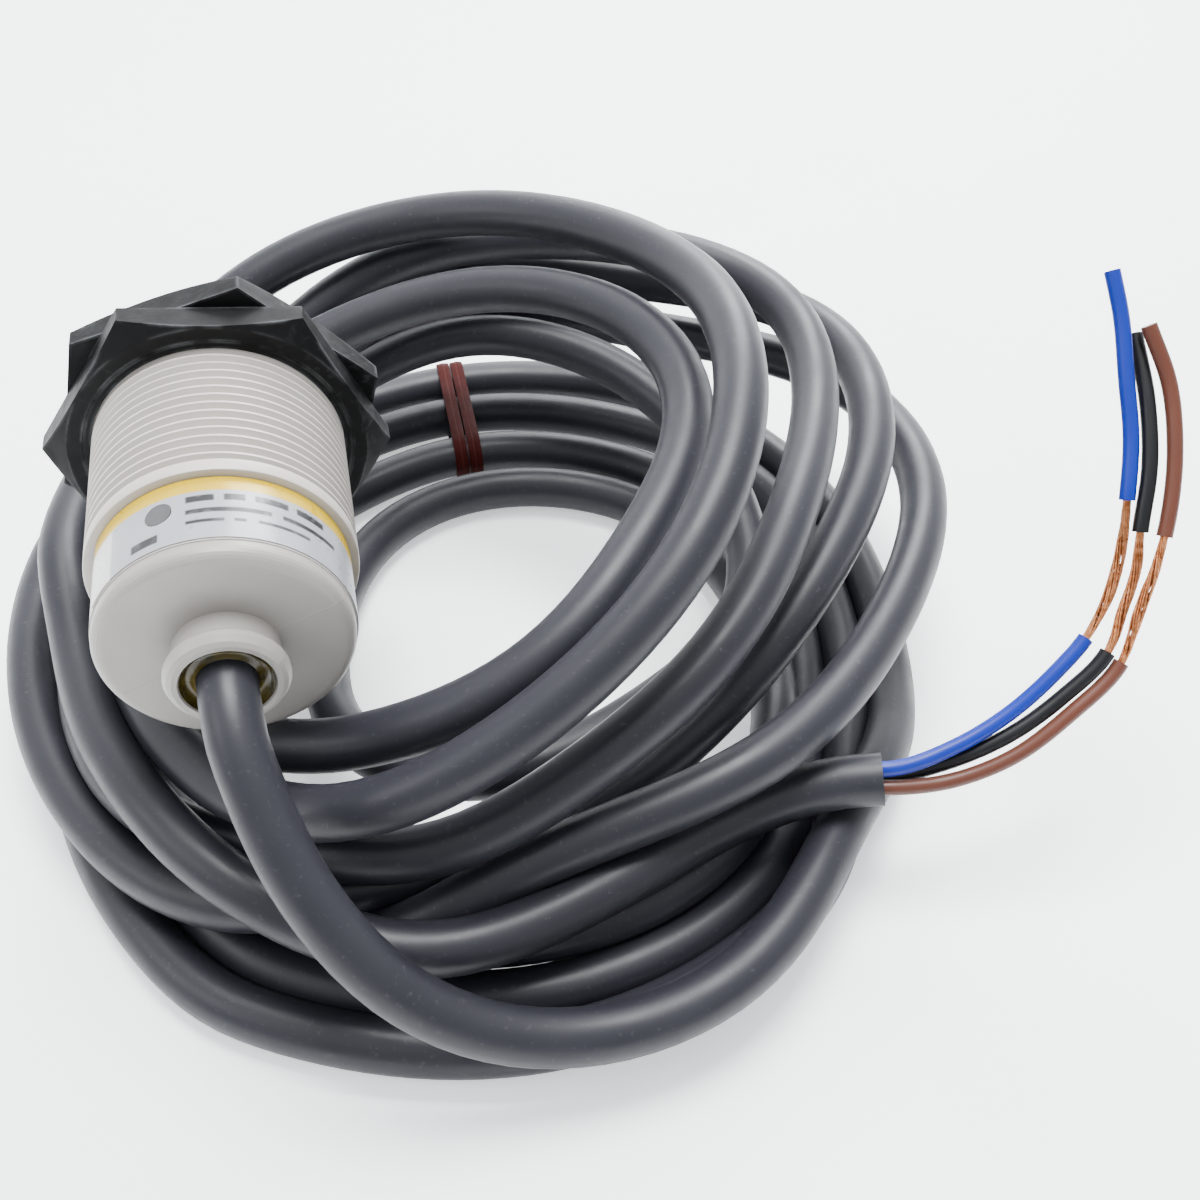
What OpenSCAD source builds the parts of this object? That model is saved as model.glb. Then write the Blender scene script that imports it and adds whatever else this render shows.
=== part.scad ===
// Cylindrical inductive proximity sensor with an M30 thread, two clamping nuts and a coiled lead.
// +Y points out of the sensing face, +Z is up, and the origin is the centre of the sensing face.

/* [Case] */
// Outer diameter of the thread
thread_d = 30; // [30:0.1:30.4]
// Thread pitch
pitch = 1.5; // [1:0.5:1.5]
// Number of thread turns
thread_turns = 21; // [21:1:21]
// Length of the plain collar behind the thread
collar_len = 1.7; // [1.2:0.1:2]
// Length of the label seat
seat_len = 9.8; // [9.4:0.1:10]
// Diameter of the label seat
seat_d = 27.8; // [27.4:0.1:27.8]
// Inner diameter of the case
bore_d = 24.8; // [24.6:0.1:25]
// Thickness of the wall at the sensing face
face_wall = 1; // [0.8:0.1:1.1]

/* [Rear cap] */
// Thickness of the cap's flange
cap_t = 2.2; // [2:0.1:3]
// Radius of the flange's rounded edge
cap_edge_r = 1.4; // [0.6:0.1:1.8]
// Diameter of the boss's neck
neck_d = 11.6; // [11:0.1:12]
// Diameter of the boss's rim
rim_d = 13.2; // [12.6:0.1:14]
// Diameter of the boss's mouth
mouth_d = 9.8; // [9.4:0.1:10]
// Length of the boss
boss_len = 5; // [4.6:0.1:6]

/* [Clamping nuts] */
// Width across the flats
nut_flats = 36; // [36:0.5:37]
// Thickness of one nut
nut_t = 4; // [3.5:0.1:4]
// Depth of the corner chamfer
nut_chamfer = 1.5; // [0.5:0.1:1.8]
// Distance from the sensing face to the front nut
nut_setback = 4; // [4:0.1:4.5]
// Angle of the front nut's first corner
front_nut_angle = 14; // [0:1:59]
// Angle of the rear nut's first corner
rear_nut_angle = -7; // [-30:1:30]

/* [Label and indicator] */
// Angle of the label's left end
label_end_angle = 152; // [130:1:170]
// Angle that the label covers
label_sweep = 212; // [180:1:230]
// Angle of the indicator window
window_angle = 108; // [100:1:120]
// Diameter of the indicator window
window_d = 2.9; // [2:0.1:3]

/* [Cable] */
// Outer diameter of the cable
cable_d = 6.4; // [6:0.1:6.4]
// Diameter of one insulated conductor
wire_d = 1.9; // [1.7:0.1:1.9]
// Diameter of one bared conductor
copper_d = 1.1; // [0.8:0.1:1.2]
// Height of the sensor's axis above the surface that the coil lies on
axis_height = 42; // [42:0.5:44]
// Outer radius of the coil
coil_r = 71.5; // [70:0.5:72]
// Radius of the hole in the coil
coil_hole_r = 22; // [20:0.5:24]

/* [Hidden] */
$fn = 96;
wire_fn = 8;
thread_depth = 0.6134 * pitch;
crest_r = thread_d / 2;
root_r = crest_r - thread_depth;
thread_front = -0.8;
thread_rear = thread_front - thread_turns * pitch;
collar_rear = thread_rear - collar_len;
case_rear = collar_rear - seat_len;
cap_face = case_rear - cap_t;
boss_end = cap_face - boss_len;
seat_r = seat_d / 2;
bore_r = bore_d / 2;
cap_r = seat_r - 0.1;
label_t = 0.13;
gap = 0.1;
nut_gap = 0.05;
front_nut_rear = -nut_setback - nut_t;
rear_nut_rear = front_nut_rear - nut_t - nut_gap;
nut_wall = 1;
nut_play = 0.06;

// Inside the case, front to rear
core_front = -face_wall - 0.3;
core_len = 7;
core_r = 10.8;
core_post_r = 4.2;
core_groove_r = 8.8;
core_groove_depth = 5;
core_rear = core_front - core_len;
bobbin_len = 4.6;
bobbin_wall = 0.4;
holder_rear = core_rear - 1.8;
board_t = 1;
board_w = 19;
board_front = holder_rear + 0.9;
board_rear = case_rear + 4.6;
board_top = board_t / 2;
lead_x = 6;
lead_r = 0.25;
window_y = collar_rear - 4.4;
potting_front = board_rear - 0.7;
potting_rear = potting_front - 1.5;
clamp_front = potting_rear - 0.1;
cable_inner_end = clamp_front - 1.2;
tail_pad_y = board_rear + 3;

// Cable and conductor routes. Each list of points is a hand-laid route.
floor_z = -axis_height;
coil_centre = [33.5, -14];
layer = cable_d;
lead_out_route = [
    [0, cable_inner_end, 0], [0, cap_face, 0], [0, boss_end, 0], [0.1, -54, -0.5], [1, -60, -5], [5, -69, -13],
    [12, -76, -22], [21, -79.5, -29], [32, -80.5, -32.3], [44, -79.5, -32.3], [55.5, -74, -32.3],
    [64, -66.5, -32.3], [68.8, -58.5, -33.5]
];
cable_end_route = [[58, -55.5, -27.6], [66, -57.3, -26.6], [72.5, -58.8, -25.3]];
blue_route = [
    [73.1, -58.6, -23.7], [81, -58.3, -22], [88, -57, -19], [94, -55, -15], [98, -53, -12],
    [101.2, -50.2, -8.2], [103.2, -46.8, -3.4], [104, -44, 1],
    [105.3, -39.5, 6], [105.6, -34.5, 11.5], [105.9, -29.5, 16.8], [105.5, -26, 20.5]
];
black_route = [
    [73.1, -57.8, -26.3], [80.5, -58.6, -24.4], [88, -58.6, -20.9], [94.5, -57.1, -17.2], [100, -55, -13],
    [102.6, -51.8, -9], [104.4, -49.2, -5.2], [105, -47, -2],
    [107, -42, 4], [108, -36.5, 9], [108.2, -30, 14]
];
brown_route = [
    [73.1, -59.9, -25.7], [80, -61, -25.2], [88, -61.2, -22.6], [95.5, -59.5, -18.6], [102.5, -56.5, -14],
    [105.4, -53, -9.4], [107.2, -50.4, -5.6], [108, -48, -2],
    [110.5, -41.5, 5.5], [111, -36, 11], [109, -31.5, 16.2]
];
bare_from = 4;
bare_to = 7;
wire_steps = 4;
tie_x = coil_centre[0];
tie_w = 4.4;
tie_t = 0.6;
tie_y = [21, 54.5];
tie_top = floor_z + layer + 2 * tie_t;

// A solid of revolution about the sensor's axis, from points (radius, y)
module revolve(points) {
    rotate([-90, 0, 0]) rotate_extrude() polygon(points);
}

// A ring about the sensor's axis between two y values
module ring(inner_r, outer_r, y_from, y_to) {
    revolve([[inner_r, y_from], [outer_r, y_from], [outer_r, y_to], [inner_r, y_to]]);
}

// A straight rod along Y at (x, z)
module rod(r, x, z, y_from, y_to) {
    translate([x, y_from, z]) rotate([-90, 0, 0]) cylinder(r = r, h = y_to - y_from, $fn = 32);
}

// A rod that points away from the axis at an angle measured from +X towards +Z
module radial_rod(angle, y, r, from, to) {
    translate([0, y, 0]) rotate([0, -angle, 0]) translate([from, 0, 0]) rotate([0, 90, 0])
        cylinder(r = r, h = to - from, $fn = 48);
}

// A flat box on the board's upper face, centred at (x, y)
module on_board(x, y, w, l, h) {
    translate([x - w / 2, y - l / 2, board_top]) cube([w, l, h]);
}

function unit(v) = v / norm(v);

// A point of the smooth curve through P, between P[i] and P[i + 1]
function curve_point(P, i, t) =
    let (a = P[max(i - 1, 0)], b = P[i], c = P[i + 1], d = P[min(i + 2, len(P) - 1)])
    0.5 * (2 * b + (c - a) * t + (2 * a - 5 * b + 4 * c - d) * t * t + (3 * b - a - 3 * c + d) * t * t * t);

function curve(P, steps) =
    [for (i = [0 : len(P) - 2], j = [0 : steps - 1]) curve_point(P, i, j / steps), P[len(P) - 1]];

function tube_ring(Q, i, r, sides, side_dir) =
    let (
        along = unit(Q[min(i + 1, len(Q) - 1)] - Q[max(i - 1, 0)]),
        u = unit(cross(side_dir, along)),
        v = cross(along, u)
    )
    [for (k = [0 : sides - 1]) Q[i] + r * (cos(360 * k / sides) * u + sin(360 * k / sides) * v)];

// A tube swept along the stretch of curve Q between two of its points
module tube(Q, first, last, r, sides, side_dir) {
    n = last - first + 1;
    points = [for (i = [first : last]) each tube_ring(Q, i, r, sides, side_dir)];
    walls = [
        for (i = [0 : n - 2], k = [0 : sides - 1])
            let (next = (k + 1) % sides)
            [i * sides + k, (i + 1) * sides + k, (i + 1) * sides + next, i * sides + next]
    ];
    start = [for (k = [0 : sides - 1]) k];
    end = [for (k = [sides - 1 : -1 : 0]) (n - 1) * sides + k];
    polyhedron(points = points, faces = concat([start], walls, [end]));
}

// One stretch of a conductor that leaves the cut end of the cable
module conductor(route, from, to, d) {
    tube(curve(route, wire_steps), from * wire_steps, to * wire_steps, d / 2, wire_fn, [0, -1, 1]);
}

// Case

root_flat = pitch / 6;
crest_flat = pitch / 8;

function thread_ridges() = [
    for (i = [0 : thread_turns - 1])
        let (y = thread_front - i * pitch)
        each [[root_r, y - root_flat / 2], [crest_r, y - (pitch - crest_flat) / 2],
              [crest_r, y - (pitch + crest_flat) / 2], [root_r, y - pitch + root_flat / 2]]
];

module threaded_case() {
    color([0.80, 0.78, 0.74]) difference() {
        revolve(concat(
            [[0, -face_wall], [0, 0], [root_r - 0.4, 0], [root_r, thread_front / 2]],
            thread_ridges(),
            [[crest_r, thread_rear], [crest_r, collar_rear], [seat_r, collar_rear],
             [seat_r, case_rear], [bore_r, case_rear], [bore_r, -face_wall]]
        ));
        radial_rod(window_angle, window_y, window_d / 2 + gap / 2, bore_r - 1, seat_r + 1);
    }
}

module rear_cap() {
    edge_y = cap_face + cap_edge_r;
    edge_x = cap_r - cap_edge_r;
    rim_mid = boss_end + 1.4;
    color([0.78, 0.76, 0.73]) revolve(concat(
        [[cable_d / 2 + gap, case_rear], [bore_r - 1.4, case_rear], [bore_r - 1.4, case_rear + 3],
         [bore_r - gap, case_rear + 3], [bore_r - gap, case_rear], [cap_r, case_rear]],
        [for (a = [0 : 15 : 90]) [edge_x + cap_edge_r * cos(a), edge_y - cap_edge_r * sin(a)]],
        [[neck_d / 2, cap_face], [neck_d / 2, rim_mid + 1.3], [rim_d / 2 - 0.3, rim_mid + 0.7],
         [rim_d / 2, rim_mid + 0.2], [rim_d / 2, rim_mid - 0.4], [rim_d / 2 - 0.4, boss_end + 0.3],
         [rim_d / 2 - 0.9, boss_end], [mouth_d / 2 + 0.2, boss_end], [mouth_d / 2, boss_end + 0.3],
         [mouth_d / 2, boss_end + 3.4], [cable_d / 2 + gap, boss_end + 3.4]]
    ));
}

module resin_seal() {
    inner = cable_d / 2 + gap;
    color([0.36, 0.30, 0.10]) revolve([
        [inner, boss_end + 3.4], [inner, boss_end + 0.7], [inner + 0.5, boss_end + 1.1],
        [mouth_d / 2 - 0.5, boss_end + 1.1], [mouth_d / 2, boss_end + 0.8], [mouth_d / 2, boss_end + 3.4]
    ]);
}

module label() {
    color([0.75, 0.75, 0.78]) difference() {
        rotate([-90, 0, 0]) rotate([0, 0, -label_end_angle]) rotate_extrude(angle = label_sweep) polygon([
            [seat_r + 0.02, case_rear + 0.2], [seat_r + 0.02 + label_t, case_rear + 0.2],
            [seat_r + 0.02 + label_t, collar_rear - 0.1], [seat_r + 0.02, collar_rear - 0.1]
        ]);
        radial_rod(window_angle, window_y, window_d / 2 + gap, seat_r - 1, seat_r + 1);
    }
}

module light_pipe() {
    color([0.35, 0.35, 0.37]) radial_rod(window_angle, window_y, window_d / 2, 2.6, seat_r + label_t);
}

// Clamping nuts

module hex_nut(y_rear, first_corner, chamfer_rear, chamfer_front) {
    corner_r = nut_flats / 2 / cos(30);
    face_r = nut_flats / 2 - 0.2;
    intersection() {
        translate([0, y_rear, 0]) rotate([0, -first_corner, 0]) rotate([-90, 0, 0]) difference() {
            cylinder(r = corner_r, h = nut_t, $fn = 6);
            translate([0, 0, -1]) cylinder(r = crest_r + nut_wall + nut_gap, h = nut_t + 2);
        }
        revolve([
            [0, y_rear], [chamfer_rear > 0 ? face_r : corner_r + 1, y_rear],
            [corner_r + 1, y_rear + chamfer_rear * 1.33],
            [corner_r + 1, y_rear + nut_t - chamfer_front * 1.33],
            [chamfer_front > 0 ? face_r : corner_r + 1, y_rear + nut_t], [0, y_rear + nut_t]
        ]);
    }
}

module front_nut() {
    color([0.09, 0.09, 0.10]) hex_nut(front_nut_rear, front_nut_angle, 0, nut_chamfer);
}

module rear_nut() {
    color([0.10, 0.10, 0.11]) hex_nut(rear_nut_rear, rear_nut_angle, nut_chamfer, 0);
}

module nut_thread(y_rear) {
    color([0.08, 0.08, 0.09]) ring(crest_r + nut_play, crest_r + nut_wall, y_rear, y_rear + nut_t);
}

module front_nut_thread() {
    nut_thread(front_nut_rear);
}

module rear_nut_thread() {
    nut_thread(rear_nut_rear);
}

// Sensing coil

module lead_holes(r, y_from, y_to) {
    for (x = [-lead_x, lead_x])
        rod(r, x, board_top + lead_r, y_from, y_to);
}

module ferrite_core() {
    color([0.22, 0.22, 0.23]) difference() {
        revolve([
            [0, core_front], [core_post_r, core_front], [core_post_r, core_front - core_groove_depth],
            [core_groove_r, core_front - core_groove_depth], [core_groove_r, core_front],
            [core_r, core_front], [core_r, core_rear], [0, core_rear]
        ]);
        lead_holes(0.5, core_rear - 1, core_front - core_groove_depth + 0.5);
    }
}

module coil_bobbin() {
    front = core_front - 0.2;
    rear = front - bobbin_len;
    inner = core_post_r + 0.15;
    outer = core_groove_r - 0.15;
    color([0.86, 0.84, 0.78]) difference() {
        revolve([
            [inner, front], [outer, front], [outer, front - bobbin_wall],
            [inner + bobbin_wall, front - bobbin_wall], [inner + bobbin_wall, rear + bobbin_wall],
            [outer, rear + bobbin_wall], [outer, rear], [inner, rear]
        ]);
        lead_holes(0.5, rear - 0.5, rear + bobbin_wall + 0.5);
    }
}

module coil_winding() {
    front = core_front - 0.2 - bobbin_wall - 0.05;
    rear = core_front - 0.2 - bobbin_len + bobbin_wall + 0.05;
    color([0.72, 0.38, 0.16])
        ring(core_post_r + 0.15 + bobbin_wall + 0.05, core_groove_r - 0.6, rear, front);
}

module coil_leads() {
    winding_rear = core_front - 0.2 - bobbin_len + bobbin_wall + 0.05;
    color([0.72, 0.38, 0.16])
        lead_holes(lead_r, board_front - 1.5, winding_rear);
}

module shield_ring() {
    color([0.80, 0.66, 0.32]) ring(core_r + 0.05, core_r + 0.45, core_rear + 0.2, core_front);
}

module core_holder() {
    wall_r = core_r + 0.55;
    color([0.13, 0.13, 0.14]) difference() {
        union() {
            ring(0, bore_r - gap, holder_rear, core_rear - 0.05);
            ring(wall_r, bore_r - gap, core_rear - 0.1, core_front - 1.5);
            for (side = [-1, 1])
                translate([side * (board_w / 2 - 0.4) - 1, holder_rear - 3, -1.6]) cube([2, 3.1, 3.2]);
        }
        lead_holes(0.5, holder_rear - 1, core_rear + 1);
        translate([-board_w / 2 - 0.1, board_rear, -board_t / 2 - 0.05])
            cube([board_w + 0.2, board_front - board_rear + 0.1, board_t + 0.1]);
    }
}

// Circuit

module circuit_board() {
    color([0.10, 0.36, 0.20]) translate([-board_w / 2, board_rear, -board_t / 2])
        cube([board_w, board_front - board_rear, board_t]);
}

module oscillator_ic() {
    y = board_front - 7.5;
    color([0.12, 0.12, 0.13]) {
        translate([0, 0, 0.15]) on_board(0, y, 3.9, 4.9, 1.5);
        for (side = [-1, 1], row = [-1.5 : 1 : 1.5])
            on_board(side * 2.4, y + row * 1.27, 1.1, 0.4, 0.5);
    }
}

module output_transistor() {
    y = board_rear + 10;
    color([0.14, 0.14, 0.15]) {
        on_board(5.2, y, 4.5, 2.5, 1.5);
        for (x = [-1.5, 0, 1.5])
            on_board(5.2 + x, y - 1.6, 0.5, 0.8, 0.4);
    }
}

module protection_diode() {
    color([0.30, 0.10, 0.06])
        rod(0.8, -6, board_top + 0.8, board_rear + 8, board_rear + 11.4);
}

module capacitors() {
    color([0.68, 0.56, 0.40])
        for (place = [[-6, board_front - 6], [-6, board_front - 10], [6, board_front - 6], [0, board_rear + 9]])
            on_board(place[0], place[1], 2, 1.25, 1);
}

module resistors() {
    color([0.16, 0.16, 0.18])
        for (i = [0 : 5])
            on_board(i < 3 ? -2.5 : 2.5, board_front - 13 - 1.6 * (i % 3), 1.6, 0.8, 0.5);
}

module indicator_led() {
    color([0.90, 0.86, 0.74]) on_board(-0.5, window_y, 1.6, 0.8, 0.8);
}

// Cable entry

module cable_clamp() {
    color([0.20, 0.20, 0.21])
        ring(cable_d / 2 + gap, 6, case_rear + 0.05, clamp_front);
}

tail_x = [4.5, 0, -4.5];
tail_z = [board_top + wire_d / 2, -board_top - wire_d / 2, board_top + wire_d / 2];
tail_start = [[1.15, 0.5], [0, -1.25], [-1.15, 0.5]];

function tail_route(i) = [
    [tail_start[i][0], cable_inner_end + 0.1, tail_start[i][1]],
    [tail_start[i][0], cable_inner_end + 0.7, tail_start[i][1]],
    [tail_start[i][0] * 1.2, potting_rear + 0.1, tail_start[i][1] * 1.1],
    [tail_x[i] * 0.6, (potting_rear + potting_front) / 2, (tail_start[i][1] + tail_z[i]) / 2],
    [tail_x[i], potting_front + 0.4, tail_z[i]],
    [tail_x[i], tail_pad_y, tail_z[i]]
];

module tail(i, r) {
    Q = curve(tail_route(i), 3);
    tube(Q, 0, len(Q) - 1, r, wire_fn, [0, 0, 1]);
}

module potting_plug() {
    color([0.30, 0.27, 0.16]) difference() {
        ring(0, bore_r - 1.5, potting_rear, potting_front);
        for (i = [0 : 2])
            tail(i, wire_d / 2 + gap);
    }
}

module brown_tail() {
    color([0.42, 0.24, 0.18]) tail(0, wire_d / 2);
}

module blue_tail() {
    color([0.12, 0.25, 0.75]) tail(1, wire_d / 2);
}

module black_tail() {
    color([0.10, 0.10, 0.11]) tail(2, wire_d / 2);
}

// Cable

module cable_lead_out() {
    Q = curve(lead_out_route, 3);
    color([0.24, 0.24, 0.27]) tube(Q, 0, len(Q) - 1, cable_d / 2, 12, [0, 0, 1]);
}

// A band of the coil between two directions from its centre, from points (radius, height in layers)
module coil_band(from, to, points) {
    rotate([0, 0, from]) rotate_extrude(angle = to - from) polygon([for (p = points) [p[0], p[1] * layer]]);
}

// The heights are in layers of cable. Each band starts inside the lowest layer.
module coil_shape() {
    inner = coil_hole_r;
    translate([coil_centre[0], coil_centre[1], floor_z]) {
        rotate_extrude() polygon([for (p = [
            [inner, 0], [coil_r, 0], [coil_r, 1], [60, 1], [60, 2], [48, 2], [48, 3], [26, 3], [inner, 2.4]
        ]) [p[0], p[1] * layer]]);
        coil_band(-35, 100, [
            [inner + 0.6, 0.4], [coil_r - 0.4, 0.4], [coil_r - 2, 4], [68, 4.8], [60, 7],
            [36, 9.2], [26, 9.2], [inner + 0.6, 8.4]
        ]);
        coil_band(-115, -31, [
            [inner + 0.9, 0.5], [52, 0.5], [52, 3.2], [46.5, 4.7], [40, 5.3], [24, 5.3], [inner + 0.9, 4.6]
        ]);
        coil_band(130, 235, [[50, 0.6], [coil_r - 0.7, 0.6], [coil_r - 0.7, 2], [64, 3.1], [50, 3.1]]);
    }
}

// A closed band round the lower strands, grown by the given amount
module tie_band(grow) {
    y_size = tie_y[1] - tie_y[0];
    z_size = tie_top - floor_z;
    translate([tie_x - tie_w / 2 - grow, 0, 0]) difference() {
        translate([0, tie_y[0] - grow, floor_z - (grow > 0 ? 1 : 0)])
            cube([tie_w + 2 * grow, y_size + 2 * grow, z_size + grow + (grow > 0 ? 1 : 0)]);
        translate([-1, tie_y[0] + tie_t + grow, floor_z + tie_t + grow])
            cube([tie_w + 2 * grow + 2, y_size - 2 * (tie_t + grow), z_size - 2 * (tie_t + grow)]);
    }
}

module cable_coil() {
    color([0.24, 0.24, 0.27]) difference() {
        coil_shape();
        tie_band(0.15);
    }
}

module cable_end() {
    Q = curve(cable_end_route, 3);
    color([0.24, 0.24, 0.27]) tube(Q, 0, len(Q) - 1, cable_d / 2, 12, [0, 0, 1]);
}

module cable_tie() {
    color([0.36, 0.16, 0.14]) tie_band(0);
}

// Conductors that leave the cut end: insulation, bared copper, and the insulation left on the tip

module brown_wire() {
    color([0.42, 0.24, 0.18]) conductor(brown_route, 0, bare_from, wire_d);
}

module blue_wire() {
    color([0.12, 0.25, 0.75]) conductor(blue_route, 0, bare_from, wire_d);
}

module black_wire() {
    color([0.10, 0.10, 0.11]) conductor(black_route, 0, bare_from, wire_d);
}

module brown_strands() {
    color([0.78, 0.46, 0.30]) conductor(brown_route, bare_from, bare_to, copper_d);
}

module blue_strands() {
    color([0.78, 0.46, 0.30]) conductor(blue_route, bare_from, bare_to, copper_d);
}

module black_strands() {
    color([0.78, 0.46, 0.30]) conductor(black_route, bare_from, bare_to, copper_d);
}

module brown_slug() {
    color([0.42, 0.24, 0.18]) conductor(brown_route, bare_to, len(brown_route) - 1, wire_d);
}

module blue_slug() {
    color([0.12, 0.25, 0.75]) conductor(blue_route, bare_to, len(blue_route) - 1, wire_d);
}

module black_slug() {
    color([0.10, 0.10, 0.11]) conductor(black_route, bare_to, len(black_route) - 1, wire_d);
}

threaded_case();
rear_cap();
resin_seal();
label();
light_pipe();
front_nut();
front_nut_thread();
rear_nut();
rear_nut_thread();
ferrite_core();
coil_bobbin();
coil_winding();
coil_leads();
shield_ring();
core_holder();
circuit_board();
oscillator_ic();
output_transistor();
protection_diode();
capacitors();
resistors();
indicator_led();
cable_clamp();
potting_plug();
brown_tail();
blue_tail();
black_tail();
cable_lead_out();
cable_coil();
cable_end();
cable_tie();
brown_wire();
blue_wire();
black_wire();
brown_strands();
blue_strands();
black_strands();
brown_slug();
blue_slug();
black_slug();
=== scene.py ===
"""Looks of a cylindrical proximity sensor with two nuts and a coiled lead.

Everything is in metres in the part's frame, except that the listed routes are in millimetres.
The sensor's axis is Y, the sensing face is at the origin, and +Z is up.
"""

import math

import bmesh
import bpy
import numpy as np
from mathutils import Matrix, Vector


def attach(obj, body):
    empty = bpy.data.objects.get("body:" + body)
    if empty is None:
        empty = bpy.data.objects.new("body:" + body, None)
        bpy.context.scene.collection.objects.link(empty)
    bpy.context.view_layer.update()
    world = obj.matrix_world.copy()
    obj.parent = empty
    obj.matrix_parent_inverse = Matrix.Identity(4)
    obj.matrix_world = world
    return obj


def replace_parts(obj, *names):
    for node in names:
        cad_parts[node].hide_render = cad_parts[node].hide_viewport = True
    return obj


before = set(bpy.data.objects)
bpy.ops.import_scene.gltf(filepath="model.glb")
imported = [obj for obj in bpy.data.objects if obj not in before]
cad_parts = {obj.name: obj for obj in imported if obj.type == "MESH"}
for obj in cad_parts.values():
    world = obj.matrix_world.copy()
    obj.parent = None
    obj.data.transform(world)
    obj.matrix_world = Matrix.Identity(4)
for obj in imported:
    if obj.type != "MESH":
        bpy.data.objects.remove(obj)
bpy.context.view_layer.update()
SENSOR = "sensor"
MM = 0.001


# Camera, light and floor

FLOOR_Z = -42.0


def place_camera():
    data = bpy.data.cameras.new("camera")
    data.lens = 42.0
    data.sensor_width = 36.0
    data.clip_start = 0.01
    camera = bpy.data.objects.new("camera", data)
    bpy.context.scene.collection.objects.link(camera)
    camera.location = (0.0182, -0.1526, 0.1094)
    forward = Vector((0.1436, 0.6882, -0.7111))
    camera.rotation_euler = forward.to_track_quat("-Z", "Y").to_euler()
    bpy.context.scene.camera = camera


def area_light(name, place, target, size, power, colour=(1.0, 1.0, 1.0)):
    data = bpy.data.lights.new(name, "AREA")
    data.shape = "DISK"
    data.size = size
    data.energy = power
    data.color = colour
    light = bpy.data.objects.new(name, data)
    bpy.context.scene.collection.objects.link(light)
    light.location = place
    aim = Vector(target) - Vector(place)
    light.rotation_euler = aim.to_track_quat("-Z", "Y").to_euler()


def light_studio():
    world = bpy.data.worlds.new("studio")
    world.use_nodes = True
    background = world.node_tree.nodes["Background"]
    background.inputs["Color"].default_value = (0.93, 0.97, 1.0, 1.0)
    # The room is brighter above and behind than in front: the tilt's low and high, and the strength at each.
    nodes, links = world.node_tree.nodes, world.node_tree.links
    tilt = nodes.new("ShaderNodeVectorMath")
    tilt.operation = "DOT_PRODUCT"
    tilt.inputs[1].default_value = (0.0, 0.5, 0.87)
    level = nodes.new("ShaderNodeMapRange")
    for socket, value in zip(list(level.inputs)[1:], (-0.5, 0.9, 0.35, 2.1)):
        socket.default_value = value
    links.new(nodes.new("ShaderNodeTexCoord").outputs["Generated"], tilt.inputs[0])
    links.new(tilt.outputs["Value"], level.inputs[0])
    links.new(level.outputs[0], background.inputs["Strength"])
    bpy.context.scene.world = world
    middle = (0.03, -0.02, -0.02)
    area_light("overhead_light", (0.08, 0.10, 0.65), middle, 0.36, 12.0)
    area_light("back_light", (0.30, 0.55, 0.45), middle, 0.34, 8.0, (0.95, 0.98, 1.0))
    area_light("left_light", (-0.55, -0.10, 0.40), middle, 0.3, 1.5)


# Materials. Their patterns come from the object's own coordinates, in metres.


class Look:
    """One procedural material and the node helpers that it is built with."""

    def __init__(self, name, **sockets):
        self.material = bpy.data.materials.new(name)
        self.material.use_nodes = True
        self.tree = self.material.node_tree
        self.tree.nodes.clear()
        self.shader = self.node("ShaderNodeBsdfPrincipled")
        output = self.node("ShaderNodeOutputMaterial")
        self.tree.links.new(self.shader.outputs[0], output.inputs[0])
        self.place = self.node("ShaderNodeTexCoord").outputs["Object"]
        split = self.node("ShaderNodeSeparateXYZ")
        self.feed(split.inputs[0], self.place)
        self.x, self.y, self.z = split.outputs
        for key, value in sockets.items():
            self.shader.inputs[key.replace("_", " ")].default_value = value

    def node(self, kind, **settings):
        made = self.tree.nodes.new(kind)
        for key, value in settings.items():
            setattr(made, key, value)
        return made

    def feed(self, socket, value):
        if isinstance(value, bpy.types.NodeSocket):
            self.tree.links.new(value, socket)
        else:
            socket.default_value = value

    def math(self, operation, a, b=0.0):
        made = self.node("ShaderNodeMath", operation=operation)
        self.feed(made.inputs[0], a)
        self.feed(made.inputs[1], b)
        return made.outputs[0]

    def noise(self, scale, detail=3.0, distortion=0.0):
        made = self.node("ShaderNodeTexNoise")
        self.feed(made.inputs["Vector"], self.place)
        made.inputs["Scale"].default_value = scale
        made.inputs["Detail"].default_value = detail
        made.inputs["Distortion"].default_value = distortion
        return made.outputs["Fac"]

    def spread(self, value, low, high, to_low=0.0, to_high=1.0, smooth=False):
        made = self.node("ShaderNodeMapRange")
        if smooth:
            made.interpolation_type = "SMOOTHSTEP"
        for socket, given in zip(made.inputs, (value, low, high, to_low, to_high)):
            self.feed(socket, given)
        return made.outputs[0]

    def between(self, value, low, high, edge):
        """1 where value is between low and high, with soft edges."""
        rise = self.spread(value, low - edge, low + edge, smooth=True)
        fall = self.spread(value, high - edge, high + edge, 1.0, 0.0, smooth=True)
        return self.math("MULTIPLY", rise, fall)

    def blend(self, factor, a, b):
        made = self.node("ShaderNodeMix", data_type="RGBA")
        self.feed(made.inputs["Factor"], factor)
        for socket, given in ((made.inputs[6], a), (made.inputs[7], b)):
            self.feed(socket, given if isinstance(given, bpy.types.NodeSocket) else (*given, 1.0))
        return made.outputs[2]

    def colour(self, value):
        self.feed(self.shader.inputs["Base Color"], value)

    def rough(self, value):
        self.feed(self.shader.inputs["Roughness"], value)

    def relief(self, height, distance):
        made = self.node("ShaderNodeBump")
        made.inputs["Strength"].default_value = 1.0
        made.inputs["Distance"].default_value = distance
        self.feed(made.inputs["Height"], height)
        self.feed(self.shader.inputs["Normal"], made.outputs[0])


def shade(colour, factor):
    return tuple(c * factor for c in colour)


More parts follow.
